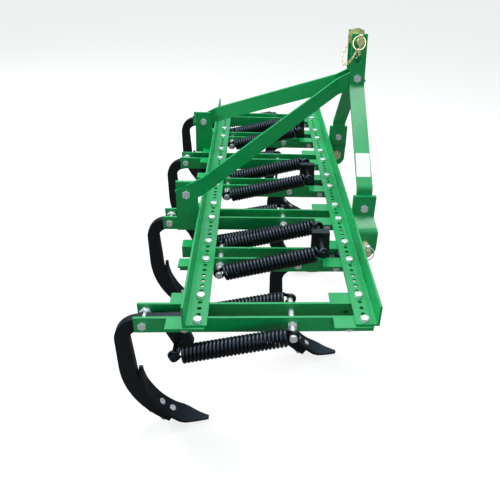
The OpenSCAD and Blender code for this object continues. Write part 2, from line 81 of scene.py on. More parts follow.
# Trip pivot to the spring pin's middle, in the front and in the rear row:
FRONT_PIN = Vector((71 * MM, 0, 79 * MM))
REAR_PIN = Vector((88 * MM, 0, -66 * MM))

# Tines: number, carrier's place in hole pitches from the middle, and whether it is in the front row.
TINES = [
    (1, -31, False), (2, -20, True), (3, -10, False), (4, 0, True),
    (5, 10, False), (6, 20, True), (7, 31, False),
]
# Deck bolts: places along a crossbar, in hole pitches from its middle.
DECK_BOLT_PLACES = [-33, -29, -22, -18, -12, -8, -2, 2, 8, 12, 18, 22, 29, 33]

TRIP = {j["name"]: Vector(j["pos_m"]) for j in frame["joints"]}
MOUNT = {m["name"]: Vector(m["pos_m"]) for m in frame["record"]["mounts"]}


# Sizes and colours

class CultivatorSizes(bpy.types.PropertyGroup):
    """Sizes of the pieces that are added to the frame."""
    pitch: bpy.props.FloatProperty(
        name="Hole pitch", description="Distance between holes along a crossbar",
        default=26.5 * MM, unit="LENGTH")
    wire: bpy.props.FloatProperty(
        name="Spring wire", description="Diameter of the springs' wire", default=10.5 * MM, unit="LENGTH")
    coil: bpy.props.FloatProperty(
        name="Coil diameter", description="Outer diameter of a spring", default=53 * MM, unit="LENGTH")
    turns: bpy.props.IntProperty(name="Turns", description="Full turns of a spring", default=27, min=5)
    spring_side: bpy.props.FloatProperty(
        name="Spring offset", description="Middle of a tine to the middle of its spring",
        default=82 * MM, unit="LENGTH")
    spring_run: bpy.props.FloatProperty(
        name="Spring run", description="Spring pin to anchor rod along the machine",
        default=321 * MM, unit="LENGTH")
    head_flats: bpy.props.FloatProperty(
        name="Bolt head", description="Width across the flats of a deck bolt's head",
        default=22 * MM, unit="LENGTH")
    head_rise: bpy.props.FloatProperty(
        name="Bolt head height", description="Height of a deck bolt's head", default=8 * MM, unit="LENGTH")
    bead: bpy.props.FloatProperty(
        name="Weld bead", description="Radius of a weld bead", default=3.2 * MM, unit="LENGTH")


class CultivatorColours(bpy.types.PropertyGroup):
    """Colours of the finishes, as sRGB hex values."""
    enamel: bpy.props.StringProperty(
        name="Enamel", description="Green enamel of the frame", default="#0aa558")
    enamel_deep: bpy.props.StringProperty(
        name="Thin enamel", description="Darker green where the enamel lies thin", default="#08924c")
    tine_paint: bpy.props.StringProperty(
        name="Tine paint", description="Black paint of the tines", default="#0c0d0f")
    tine_scale: bpy.props.StringProperty(
        name="Forging scale", description="Darker black where the forging scale shows", default="#08090a")
    spring_coat: bpy.props.StringProperty(
        name="Spring coat", description="Black coat of the springs", default="#0a0b0d")
    zinc: bpy.props.StringProperty(name="Zinc", description="Bright zinc of the bolts", default="#eef0f2")
    yellow_zinc: bpy.props.StringProperty(
        name="Yellow zinc", description="Yellow zinc of the hitch pins", default="#efe4b4")
    label: bpy.props.StringProperty(
        name="Label", description="White film of the blank label", default="#f4f5f2")
    floor: bpy.props.StringProperty(name="Floor", description="Plain floor", default="#8a8a88")


def sizes():
    return bpy.context.scene.cultivator_sizes


def colours():
    return bpy.context.scene.cultivator_colours


# Materials

# Open sky is bluish, and black paint shows little else in its gloss.
SKY_TINT = (0.72, 0.86, 1, 1)


def linear(hex_value):
    """Linear colour of an sRGB hex value."""
    channels = [int(hex_value[k:k + 2], 16) / 255 for k in (1, 3, 5)]
    low = [c / 12.92 if c <= 0.04045 else ((c + 0.055) / 1.055) ** 2.4 for c in channels]
    return (*low, 1.0)


def add_node(tree, kind, settings=None, links=None):
    """Adds a node, sets its properties and socket defaults, and links its inputs."""
    node = tree.nodes.new(kind)
    for key, value in (settings or {}).items():
        if isinstance(key, int) or key in node.inputs:
            node.inputs[key].default_value = value
        else:
            setattr(node, key, value)
    for key, socket in (links or {}).items():
        tree.links.new(socket, node.inputs[key])
    return node


def new_material(name):
    material = bpy.data.materials.new(name)
    material.use_nodes = True
    tree = material.node_tree
    shader = tree.nodes["Principled BSDF"]
    place = add_node(tree, "ShaderNodeTexCoord").outputs["Object"]
    return material, tree, shader, place


def spotted(tree, place, size, detail=2.0, roughness=0.5):
    """Noise whose blotches are about size across, in metres."""
    settings = {"Scale": 1 / size, "Detail": detail, "Roughness": roughness}
    return add_node(tree, "ShaderNodeTexNoise", settings, {"Vector": place}).outputs["Fac"]


def between(tree, fac, low, high):
    """Maps a noise value to the range from low to high."""
    settings = {"From Min": 0.3, "From Max": 0.7, "To Min": low, "To Max": high}
    return add_node(tree, "ShaderNodeMapRange", settings, {"Value": fac}).outputs["Result"]


def mixed(tree, fac, first, second):
    return add_node(tree, "ShaderNodeMix", {"data_type": "RGBA", 6: linear(first), 7: linear(second)},
                    {0: fac}).outputs[2]


def sprayed_enamel(name, first, second):
    """Sprayed enamel on hot-rolled bar: a clear gloss with a fine orange peel and soft rolled edges."""
    material, tree, shader, place = new_material(name)
    cloud = spotted(tree, place, 90 * MM, 3.0)
    tree.links.new(mixed(tree, cloud, first, second), shader.inputs["Base Color"])
    tree.links.new(between(tree, spotted(tree, place, 40 * MM, 4.0), 0.26, 0.38), shader.inputs["Roughness"])
    shader.inputs["Specular IOR Level"].default_value = 0.5
    shader.inputs["Coat Weight"].default_value = 0.2
    shader.inputs["Coat Roughness"].default_value = 0.12
    edge = add_node(tree, "ShaderNodeBevel", {"samples": 4, "Radius": 1.6 * MM}).outputs["Normal"]
    # Orange peel is about 1 mm across; it is drawn at 5 mm so that it shows.
    peel = spotted(tree, place, 5 * MM, 1.0)
    bump = add_node(tree, "ShaderNodeBump", {"Strength": 0.12, "Distance": 0.4 * MM},
                    {"Height": peel, "Normal": edge}).outputs["Normal"]
    tree.links.new(bump, shader.inputs["Normal"])
    return material


def forge_black(name, first, second):
    """Thin black paint on forged spring steel: satin, with the scale of the forging under it."""
    material, tree, shader, place = new_material(name)
    blotches = spotted(tree, place, 60 * MM, 4.0)
    tree.links.new(mixed(tree, blotches, first, second), shader.inputs["Base Color"])
    wear = spotted(tree, place, 22 * MM, 4.0)
    tree.links.new(between(tree, wear, 0.36, 0.55), shader.inputs["Roughness"])
    shader.inputs["Specular IOR Level"].default_value = 0.5
    shader.inputs["Specular Tint"].default_value = SKY_TINT
    edge = add_node(tree, "ShaderNodeBevel", {"samples": 4, "Radius": 2 * MM}).outputs["Normal"]
    # Forging scale is 2 to 6 mm across.
    scale = spotted(tree, place, 6 * MM, 3.0)
    bump = add_node(tree, "ShaderNodeBump", {"Strength": 0.25, "Distance": 0.5 * MM},
                    {"Height": scale, "Normal": edge}).outputs["Normal"]
    tree.links.new(bump, shader.inputs["Normal"])
    return material


def dipped_coat(name, colour):
    """Glossy black dip coat on spring wire, which shows a bright line along each turn."""
    material, tree, shader, place = new_material(name)
    shader.inputs["Base Color"].default_value = linear(colour)
    tree.links.new(between(tree, spotted(tree, place, 12 * MM, 3.0), 0.24, 0.4), shader.inputs["Roughness"])
    shader.inputs["Specular IOR Level"].default_value = 0.55
    shader.inputs["Specular Tint"].default_value = SKY_TINT
    return material


def plated(name, colour, low, high):
    """Zinc-plated steel: a bright metal with slightly cloudy passivation."""
    material, tree, shader, place = new_material(name)
    # The passivation film scatters about half of the light, so the metal looks pale from every side.
    shader.inputs["Metallic"].default_value = 0.45
    shader.inputs["Base Color"].default_value = linear(colour)
    tree.links.new(between(tree, spotted(tree, place, 8 * MM, 3.0), low, high), shader.inputs["Roughness"])
    edge = add_node(tree, "ShaderNodeBevel", {"samples": 4, "Radius": 0.8 * MM}).outputs["Normal"]
    tree.links.new(edge, shader.inputs["Normal"])
    return material


def label_film(name, colour):
    """White vinyl film, blank, with a faint waviness where it was pressed on."""
    material, tree, shader, place = new_material(name)
    shader.inputs["Base Color"].default_value = linear(colour)
    shader.inputs["Roughness"].default_value = 0.4
    bump = add_node(tree, "ShaderNodeBump", {"Strength": 0.2, "Distance": 0.5 * MM},
                    {"Height": spotted(tree, place, 15 * MM)}).outputs["Normal"]
    tree.links.new(bump, shader.inputs["Normal"])
    return material


def finish(slot):
    """The material of a slot of the record, made once."""
    c = colours()
    kinds = {
        "frame_green": ("sprayed_enamel", sprayed_enamel, (c.enamel, c.enamel_deep)),
        "tine_black": ("forge_black_paint", forge_black, (c.tine_paint, c.tine_scale)),
        "spring_black": ("dipped_spring_coat", dipped_coat, (c.spring_coat,)),
        "bolt_silver": ("bright_zinc_plate", plated, (c.zinc, 0.18, 0.34)),
        "pin_yellow": ("yellow_zinc_plate", plated, (c.yellow_zinc, 0.22, 0.38)),
        "label_white": ("vinyl_label_film", label_film, (c.label,)),
    }
    name, maker, settings = kinds[slot]
    return bpy.data.materials.get(name) or maker(name, *settings)


# Modelling

def deselect():
    if bpy.context.mode != "OBJECT":
        bpy.ops.object.mode_set(mode="OBJECT")
    bpy.ops.object.select_all(action="DESELECT")


def only(obj):
    deselect()
    obj.select_set(True)
    bpy.context.view_layer.objects.active = obj
    return obj


def apply_place(obj):
    """Puts the object's place into its mesh, so that the object sits at the origin."""
    only(obj)
    bpy.ops.object.transform_apply(location=True, rotation=True, scale=True)
    return obj


def joined(objs, name):
    """Joins pieces into one mesh with that name."""
    deselect()
    for obj in objs:
        obj.select_set(True)
    bpy.context.view_layer.objects.active = objs[0]
    if len(objs) > 1:
        bpy.ops.object.join()
    obj = bpy.context.object
    obj.name = name
    obj.data.name = name
    return apply_place(obj)


def copy_at(obj, matrix):
    """A copy with its own mesh, placed by a matrix."""
    twin = obj.copy()
    twin.data = obj.data.copy()
    bpy.context.scene.collection.objects.link(twin)
    twin.matrix_world = matrix
    return twin


def repeated(pattern, matrices, name):
    """Copies of a pattern at each place, joined into one piece; the pattern itself goes."""
    copies = [copy_at(pattern, matrix) for matrix in matrices]
    bpy.data.objects.remove(pattern)
    return joined(copies, name)


def dress(obj, body, slot, smooth=35):
    """Gives a finished piece its finish, its shading and its body."""
    only(obj)
    bpy.ops.object.shade_smooth_by_angle(angle=math.radians(smooth))
    obj.data.materials.clear()
    obj.data.materials.append(finish(slot))
    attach(obj, body)
    return obj


def add_modifier(obj, kind, **settings):
    """Adds a modifier and applies it."""
    only(obj)
    modifier = obj.modifiers.new(kind.title(), kind)
    for key, value in settings.items():
        setattr(modifier, key, value)
    bpy.ops.object.modifier_apply(modifier=modifier.name)
    return obj


def select_faces(obj, wanted):
    """Enters edit mode with just the faces for which wanted(face) is true."""
    only(obj)
    bpy.ops.object.mode_set(mode="EDIT")
    bpy.ops.mesh.select_all(action="DESELECT")
    bpy.ops.mesh.select_mode(type="FACE")
    bpy.ops.object.mode_set(mode="OBJECT")
    for face in obj.data.polygons:
        face.select = wanted(face)
    bpy.ops.object.mode_set(mode="EDIT")


def hex_head(flats, rise):
    """Hexagon head that stands on z = 0, its top turned round as on a real bolt."""
    deselect()
    bpy.ops.mesh.primitive_cylinder_add(
        vertices=6, radius=flats / math.sqrt(3), depth=rise, location=(0, 0, rise / 2))
    head = apply_place(bpy.context.object)
    select_faces(head, lambda f: f.normal.z > 0.9)
    bpy.ops.mesh.inset(thickness=flats * 0.07, depth=0)
    bpy.ops.transform.translate(value=(0, 0, flats * 0.035))
    bpy.ops.object.mode_set(mode="OBJECT")
    return add_modifier(head, "BEVEL", width=flats * 0.02, segments=1, limit_method="ANGLE",
                        angle_limit=math.radians(20))


def hex_nut(flats, thick, hole):
    """Hexagon nut that stands on z = 0, with its hole."""
    nut = hex_head(flats, thick)
    deselect()
    bpy.ops.mesh.primitive_cylinder_add(vertices=24, radius=hole, depth=thick * 4)
    cutter = bpy.context.object
    add_modifier(nut, "BOOLEAN", operation="DIFFERENCE", object=cutter)
    bpy.data.objects.remove(cutter)
    return nut


def washer(radius, hole, thick):
    """Flat ring that lies on z = 0."""
    deselect()
    bpy.ops.mesh.primitive_circle_add(vertices=28, radius=radius, fill_type="NGON", location=(0, 0, 0))
    ring = bpy.context.object
    select_faces(ring, lambda f: True)
    bpy.ops.mesh.inset(thickness=radius - hole, depth=0)
    bpy.ops.mesh.delete(type="FACE")
    bpy.ops.mesh.select_all(action="SELECT")
    bpy.ops.mesh.normals_make_consistent(inside=False)
    bpy.ops.object.mode_set(mode="OBJECT")
    add_modifier(ring, "SOLIDIFY", thickness=thick, offset=-1 if ring.data.polygons[0].normal.z < 0 else 1)
    return add_modifier(ring, "BEVEL", width=thick * 0.2, segments=1, limit_method="ANGLE",
                        angle_limit=math.radians(40))


def stud(radius, length, tip):
    """Round end of a bolt that stands on z = 0, with a chamfered tip."""
    deselect()
    bpy.ops.mesh.primitive_cylinder_add(vertices=20, radius=radius, depth=length, location=(0, 0, length / 2))
    end = apply_place(bpy.context.object)
    select_faces(end, lambda f: f.normal.z > 0.9)
    bpy.ops.mesh.inset(thickness=tip, depth=0)
    bpy.ops.transform.translate(value=(0, 0, tip * 0.8))
    bpy.ops.object.mode_set(mode="OBJECT")
    return end


def wire_path(points, radius, name, radii=None, sides=2, cyclic=False):
    """Round wire along points, as a closed mesh."""
    deselect()
    bpy.ops.curve.primitive_nurbs_path_add()
    obj = bpy.context.object
    obj.matrix_world = Matrix.Identity(4)
    curve = obj.data
    curve.splines.clear()
    line = curve.splines.new("POLY")
    line.points.add(len(points) - 1)
    for k, point in enumerate(points):
        line.points[k].co = (*point, 1.0)
        line.points[k].radius = radii[k] if radii else 1.0
    line.use_cyclic_u = cyclic
    line.use_smooth = True
    curve.dimensions = "3D"
    curve.twist_mode = "MINIMUM"
    curve.bevel_depth = radius
    curve.bevel_resolution = sides
    curve.use_fill_caps = not cyclic
    only(obj)
    bpy.ops.object.convert(target="MESH")
    obj = bpy.context.object
    obj.name = name
    bpy.ops.object.mode_set(mode="EDIT")
    bpy.ops.mesh.select_all(action="SELECT")
    bpy.ops.mesh.remove_doubles(threshold=1e-6)
    bpy.ops.mesh.normals_make_consistent(inside=False)
    bpy.ops.object.mode_set(mode="OBJECT")
    return obj


def turned(direction, spin=0.0):
    """Rotation that takes +Z to a direction."""
    return Vector(direction).to_track_quat("Z", "Y").to_matrix().to_4x4() @ Matrix.Rotation(spin, 4, "Z")


def placed(point, direction=(0, 0, 1), spin=0.0):
    return Matrix.Translation(point) @ turned(direction, spin)


# Places on the machine

def hole_y(place):
    """Y of a hole or of a carrier's middle, from its place along the crossbars."""
    return place * sizes().pitch


def pivot(number):
    return TRIP[f"trip_{number}"]


def spring_pin(number, front):
    """Middle of a tine's spring pin."""
    return pivot(number) + (FRONT_PIN if front else REAR_PIN)


def spring_ends(number, front, side):
    """Middle of the spring pin and of the anchor rod in one spring's plane."""
    s = sizes()
    start = spring_pin(number, front) + Vector((0, side * s.spring_side, 0))
    run = -s.spring_run if front else s.spring_run
    # The anchor rods lie at the height of the trip pivots.
    end = Vector((start.x + run, start.y, pivot(number).z))
    return start, end


def bolt_line(bar):
    """X of a crossbar's row of holes, and Z of its flange's top."""
    low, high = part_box(bar)
    x = low.x + HOLE_EDGE if bar == "crossbar_rear" else high.x - HOLE_EDGE
    return x, high.z - FLANGE_DROP


# Pieces

def spring_route(start, end):
    """Centre line of one spring's wire: hook, straight lead, turns, lead and hook."""
    s = sizes()
    along = (end - start).normalized()
    across = Vector((0, 1, 0))
    up = along.cross(across)
    up = up if up.z > 0 else -up
    rod, slack = 8 * MM, 0.3 * MM
    hook = rod + s.wire / 2 + slack
    coil = (s.coil - s.wire) / 2
    lead = hook + 1 * MM
    length = (end - start).length
    steps = 22
    hook_steps, hook_start, hook_sweep = 18, -25, -245

    def hook_points(centre, forward):
        ring = []
        for k in range(hook_steps + 1):
            a = math.radians(hook_start + k * hook_sweep / hook_steps)
            ring.append(centre + forward * hook * math.cos(a) + up * hook * math.sin(a))
        return ring

    points = hook_points(start, along)
    total = s.turns * steps
    first = lead + s.wire / 2
    rise = (length - 2 * first) / s.turns
    ease = 6
    for k in range(-ease, total + ease + 1):
        turn = 2 * math.pi * min(max(k, 0), total) / steps
        over = k if k < 0 else max(k - total, 0)
        swing = turn + 2 * math.pi * over / steps * 0.5
        u = first + rise * min(max(k, 0), total) / steps + over * s.wire * 0.12
        radius = coil - abs(over) * (coil - hook) / ease
        points.append(start + along * u + up * radius * math.cos(swing) + across * radius * math.sin(swing))
    points += list(reversed(hook_points(end, -along)))
    return points


def coil_springs(number, front):
    """The pair of extension springs of one tine, each one hooked wire."""
    s = sizes()
    parts = []
    for side in (RIGHT, LEFT):
        start, end = spring_ends(number, front, side)
        parts.append(wire_path(spring_route(start, end), s.wire / 2, "spring", sides=2))
    pair = joined(parts, f"coil_springs_{number}")
    only(pair)
    bpy.ops.object.shade_smooth()
    pair.data.materials.clear()
    pair.data.materials.append(finish("spring_black"))
    start, end = spring_ends(number, front, 0)
    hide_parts(f"springs_{number}")
    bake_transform(pair)
    return pair


def deck_bolts():
    """Hexagon bolts through the crossbars' flanges, with washers and nuts below."""
    s = sizes()
    heads, nuts, washers = [], [], []
    washer_thick = 1.6 * MM
    below = FLANGE_THICK + CLEAT_THICK + 0.2 * MM
    for bar in ("crossbar_rear", "crossbar_front"):
        x, z = bolt_line(bar)
        for k, place in enumerate(DECK_BOLT_PLACES):
            y = hole_y(place)
            heads.append(placed((x, y, z + washer_thick), (0, 0, 1), 0.37 * k))
            washers.append(placed((x, y, z)))
            nuts.append(placed((x, y, z - below), (0, 0, -1), 0.61 * k))
    rings = repeated(washer(11.6 * MM, 6.4 * MM, washer_thick), washers, "rings")
    tops = repeated(hex_head(s.head_flats, s.head_rise), heads, "tops")
    lows = repeated(hex_head(s.head_flats * 0.9, 10 * MM), nuts, "lows")
    ends = repeated(stud(6 * MM, 15 * MM, 1.4 * MM), nuts, "ends")
    return dress(joined([tops, rings, lows, ends], "deck_bolts"), "frame", "bolt_silver", 30)


def cleat_bolts():
    """Horizontal bolts that hold each carrier bar to its cleat."""
    rise, back = 19 * MM, 38 * MM
    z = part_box("carrier_1")[0].z + rise
    outer = []
    for bar in ("crossbar_rear", "crossbar_front"):
        x = bolt_line(bar)[0] - back
        for number, place, front in TINES:
            for side in (RIGHT, LEFT):
                y = hole_y(place) + side * (BAR_OUTER + CLEAT_THICK)
                outer.append(placed((x, y, z), (0, side, 0), 0.2 * number))
    return dress(repeated(hex_head(20 * MM, 7 * MM), outer, "cleat_bolts"), "frame", "bolt_silver", 30)


def pivot_nuts():
    """Nuts on the pivot bolts, against the inner faces of the carrier bars."""
    thick, flats, gap = 10.5 * MM, 30 * MM, 0.2 * MM
    places = []
    for number, place, front in TINES:
        for side in (RIGHT, LEFT):
            point = pivot(number) + Vector((0, side * (BAR_INNER - gap), 0))
            places.append(placed(point, (0, -side, 0), 0.25))
    return dress(repeated(hex_nut(flats, thick, 8 * MM), places, "pivot_nuts"), "frame", "bolt_silver", 30)


def share_bolt():
    """Countersunk plough bolt seen from its face: a flat head with a small square socket."""
    deselect()
    bpy.ops.mesh.primitive_cylinder_add(vertices=28, radius=10.5 * MM, depth=3 * MM, location=(0, 0, 0))
    head = apply_place(bpy.context.object)
    select_faces(head, lambda f: f.normal.z > 0.9)
    bpy.ops.mesh.inset(thickness=1.2 * MM, depth=0)
    bpy.ops.transform.translate(value=(0, 0, 0.6 * MM))
    bpy.ops.mesh.inset(thickness=4.6 * MM, depth=0)
    bpy.ops.mesh.extrude_region_move(TRANSFORM_OT_translate={"value": (0, 0, -1.4 * MM)})
    bpy.ops.object.mode_set(mode="OBJECT")
    return head


def share_bolts(number):
    """Two plough bolts in the share's face and their nuts behind the shank."""
    # The share and the lower shank are arcs round one centre, and the bolts point at it.
    share_r, thick, shank_depth = 214.5 * MM, 11 * MM, 34 * MM
    centre = pivot(number) + Vector((180 * MM, 0, -206 * MM))
    bolt_angles = (219.5, 231.2)
    proud = 0.4 * MM
    faces, nuts = [], []
    for degrees in bolt_angles:
        a = math.radians(degrees)
        out = Vector((math.cos(a), 0, math.sin(a)))
        faces.append(placed(centre + out * (share_r - thick + proud), -out, 0.4))
        nuts.append(placed(centre + out * (share_r + shank_depth), out, 0.3))
    heads = repeated(share_bolt(), faces, "heads")
    lows = repeated(hex_head(21 * MM, 9 * MM), nuts, "lows")
    return dress(joined([heads, lows], f"share_bolts_{number}"), f"tine_{number}", "bolt_silver", 30)


def bead_along(points, radius):
    """Weld bead: a rope of overlapping pools along a line."""
    route, swell = [], []
    for a, b in zip(points, points[1:]):
        count = max(int((b - a).length / (2.4 * MM)), 2)
        for k in range(count):
            route.append(a.lerp(b, k / count))
            swell.append(1.0 if len(route) % 2 else 0.8)
    route.append(points[-1])
    swell.append(0.6)
    return wire_path(route, radius, "bead", radii=swell, sides=1)


def frame_welds():
    """Fillet beads where the brace plates and hitch brackets meet the crossbars."""
    s = sizes()
    beads = []
    rear_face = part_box("crossbar_rear")[0].x
    front_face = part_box("crossbar_front")[1].x
    under, deck_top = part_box("crossbar_rear")[0].z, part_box("crossbar_rear")[1].z
    bracket_bead, step = 30 * MM, 14 * MM
    for side, name in ((RIGHT, "right"), (LEFT, "left")):
        low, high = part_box(f"brace_plate_{name}")
        for y in (low.y, high.y):
            ends = [Vector((rear_face, y, under)), Vector((rear_face, y, deck_top))]
            beads.append(bead_along(ends, s.bead))
        low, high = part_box(f"hitch_bracket_{name}")
        near = low.y if side == LEFT else high.y
        for y in (near, near + side * step):
            ends = [Vector((front_face, y, deck_top - bracket_bead)), Vector((front_face, y, deck_top))]
            beads.append(bead_along(ends, s.bead))
    return dress(joined(beads, "frame_welds"), "frame", "frame_green", 60)


def tine_welds(number, front):
    """Beads where a spring lever is welded to its shank's arm, and round its pin."""
    s = sizes()
    # The lever's foot along the arm, from the trip pivot.
    back, fore, rise = (43 * MM, 103 * MM, 12 * MM) if front else (47 * MM, 113 * MM, -22 * MM)
    round_pin, steps = 8.6 * MM, 24
    beads = []
    for y in (-HALF_SHANK, HALF_SHANK):
        foot = [pivot(number) + Vector((x, y, rise)) for x in (back, fore)]
        beads.append(bead_along(foot, s.bead))
    for y in (-HALF_SHANK, HALF_SHANK):
        middle = spring_pin(number, front) + Vector((0, y, 0))
        ring = []
        for k in range(steps + 1):
            a = 2 * math.pi * k / steps
            ring.append(middle + Vector((round_pin * math.cos(a), 0, round_pin * math.sin(a))))
        beads.append(bead_along(ring, s.bead * 0.9))
    return dress(joined(beads, f"tine_welds_{number}"), f"tine_{number}", "tine_black", 60)


def ring_wire(top, down, across, length, width):
    """Closed oval wire ring that hangs from its top."""
    middle = top + down * length / 2
    points = []
    for k in range(36):
        a = 2 * math.pi * k / 36
        points.append(middle + down * length / 2 * math.cos(a) + across * width / 2 * math.sin(a))
    return wire_path(points, 1.9 * MM, "ring", sides=2, cyclic=True)


LINCH_SIZE = 9 * MM
# End of a hitch pin to its cross hole:
CROSS_HOLE = 12 * MM


def linch_pin(centre, seat, ring):
    """Linch pin through a cross hole, its head on the hitch pin's back at seat above centre."""
    deselect()
    size, length = LINCH_SIZE, 56 * MM
    middle = centre + Vector((0, 0, seat - length / 2))
    bpy.ops.mesh.primitive_cylinder_add(vertices=20, radius=size / 2, depth=length, location=middle)
    shaft = apply_place(bpy.context.object)
    select_faces(shaft, lambda f: f.normal.z < -0.9)
    bpy.ops.mesh.inset(thickness=size * 0.18, depth=0)
    bpy.ops.transform.translate(value=(0, 0, -size * 0.4))
    bpy.ops.object.mode_set(mode="OBJECT")
    return [shaft, linch_head(centre + Vector((0, 0, seat + size * 0.6)), size), ring]


def linch_head(middle, size):
    """Round head of a linch pin."""
    deselect()
    bpy.ops.mesh.primitive_cylinder_add(vertices=24, radius=size * 0.95, depth=size * 1.5, location=middle)
    head = apply_place(bpy.context.object)
    return add_modifier(head, "BEVEL", width=size * 0.2, segments=2, limit_method="ANGLE",
                        angle_limit=math.radians(40))


def hitch_linch_pins():
    """Linch pins of the two lower hitch pins, their rings closed round the pins."""
    pin_radius = 14 * MM
    pieces = []
    for side, name in ((RIGHT, "right"), (LEFT, "left")):
        mount = MOUNT[f"lower_pin_{name}"]
        low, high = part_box(f"hitch_pin_{name}")
        end = high.y if side == LEFT else low.y
        hole = Vector((mount.x, end - side * CROSS_HOLE, mount.z))
        top = hole + Vector((0, side * 3 * MM, 21 * MM))
        down = Vector((0, side * 0.1, -1)).normalized()
        ring = ring_wire(top, down, Vector((1, 0, 0)), 50 * MM, 46 * MM)
        pieces += linch_pin(hole, pin_radius, ring)
    return dress(joined(pieces, "hitch_linch_pins"), "frame", "bolt_silver", 40)


def top_linch_pin():
    """Linch pin of the top link pin, its ring open and pulled rearwards by the chain."""
    pin_radius = 12.5 * MM
    low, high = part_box("top_link_pin")
    hole = Vector(((low.x + high.x) / 2, low.y + CROSS_HOLE, (low.z + high.z) / 2))
    outward, rearward = math.radians(48), math.radians(24)
    down = Vector((-math.sin(rearward) * math.cos(outward), -math.sin(outward),
                   -math.cos(rearward) * math.cos(outward)))
    across = (Vector((1, 0, 0)) - down * down.x).normalized()
    ring = ring_wire(hole + Vector((0, 0, 19 * MM)), down, across, 60 * MM, 42 * MM)
    pieces = linch_pin(hole, pin_radius, ring)
    return dress(joined(pieces, "top_linch_pin"), "frame", "pin_yellow", 40)


def chain_link(length, width, wire):
    """Oval link that lies along X."""
    points = []
    for k in range(20):
        a = 2 * math.pi * k / 20
        reach = (length - width) / 2 if math.cos(a) > 0 else (width - length) / 2
        points.append(Vector((reach + width / 2 * math.cos(a), width / 2 * math.sin(a), 0)))
    return wire_path(points, wire, "link", sides=1, cyclic=True)


def pin_chain():
    """Small chain that hangs from the linch pin past the mast plate to the pin's head."""
    low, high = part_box("top_link_pin")
    x, z = (low.x + high.x) / 2, (low.z + high.z) / 2
    plate = MAST_OUTER
    route = [
        Vector((x - 16 * MM, low.y - 31 * MM, z - 18 * MM)),
        Vector((x - 26 * MM, -plate - 24 * MM, z - 56 * MM)),
        Vector((x - 36 * MM, -plate - 4 * MM, z - 80 * MM)),
        Vector((x - 46 * MM, -plate + 28 * MM, z - 88 * MM)),
        Vector((x - 48 * MM, plate - 26 * MM, z - 76 * MM)),
        Vector((x - 40 * MM, plate - 4 * MM, z - 60 * MM)),
        Vector((x - 26 * MM, plate + 14 * MM, z - 36 * MM)),
        Vector((x - 10 * MM, plate + 14 * MM, z - 8 * MM)),
    ]
    step = 11 * MM
    places = []
    carried, twist = 0.0, 0
    for a, b in zip(route, route[1:]):
        span = (b - a).length
        while carried < span:
            point = a.lerp(b, carried / span)
            turn = (b - a).to_track_quat("X", "Z").to_matrix().to_4x4()
            quarter = Matrix.Rotation(math.pi / 2 * (twist % 2), 4, "X")
            places.append(Matrix.Translation(point) @ turn @ quarter)
            carried += step
            twist += 1
        carried -= span
    chain = repeated(chain_link(15 * MM, 8 * MM, 1.1 * MM), places, "pin_chain")
    return dress(chain, "frame", "pin_yellow", 60)


def mast_label():
    """Blank white label on the slanting face of the right mast leg."""
    deck = bolt_line("crossbar_front")[1]
    # The slanting stretch of the leg's middle plane, from its upper to its lower bend.
    top = Vector((0, -37 * MM, deck + 406 * MM))
    foot = Vector((0, -337.5 * MM, deck + 136 * MM))
    half_leg, way_down, ahead = 5.2 * MM, 0.785, 11 * MM
    down = (foot - top).normalized()
    out = Vector((1, 0, 0)).cross(down)
    out = out if out.z > 0 else -out
    centre = top.lerp(foot, way_down) + out * half_leg
    centre.x = MOUNT["top_link_bore"].x + ahead
    deselect()
    bpy.ops.mesh.primitive_plane_add(size=1)
    label = bpy.context.object
    label.scale = (50 * MM, 90 * MM, 1)
    bpy.ops.object.transform_apply(scale=True)
    bpy.ops.object.mode_set(mode="EDIT")
    bpy.ops.mesh.bevel(offset=4 * MM, segments=4, affect="VERTICES")
    bpy.ops.object.mode_set(mode="OBJECT")
    add_modifier(label, "SOLIDIFY", thickness=0.5 * MM, offset=1)
    basis = Matrix((Vector((1, 0, 0)), down, Vector((1, 0, 0)).cross(down))).transposed().to_4x4()
    label.matrix_world = Matrix.Translation(centre) @ basis
    label.name = "mast_label"
    return dress(apply_place(label), "frame", "label_white", 30)


def stage_floor():
    """Plain pale floor that keeps the machine's shadow and shows white to the camera."""
    deselect()
    bpy.ops.mesh.primitive_circle_add(vertices=96, radius=14, fill_type="NGON", location=(0, 0, 0))
    floor = apply_place(bpy.context.object)
    floor.name = "floor"
    material, tree, shader, place = new_material("pale_floor")
    shader.inputs["Roughness"].default_value = 0.85
    shader.inputs["Specular IOR Level"].default_value = 0.0
    # The floor looks near white to the camera, and throws back less light on the machine's sides.
    rays = add_node(tree, "ShaderNodeLightPath")
    in_gloss = mixed(tree, rays.outputs["Is Glossy Ray"], colours().floor, "#707070")
    tree.links.new(in_gloss, shader.inputs["Base Color"])
    lift = add_node(tree, "ShaderNodeMath", {"operation": "MULTIPLY", 1: 0.8},
                    {0: rays.outputs["Is Camera Ray"]})
    shader.inputs["Emission Color"].default_value = (1, 1, 1, 1)
    tree.links.new(lift.outputs[0], shader.inputs["Emission Strength"])
    floor.data.materials.append(material)
    return floor


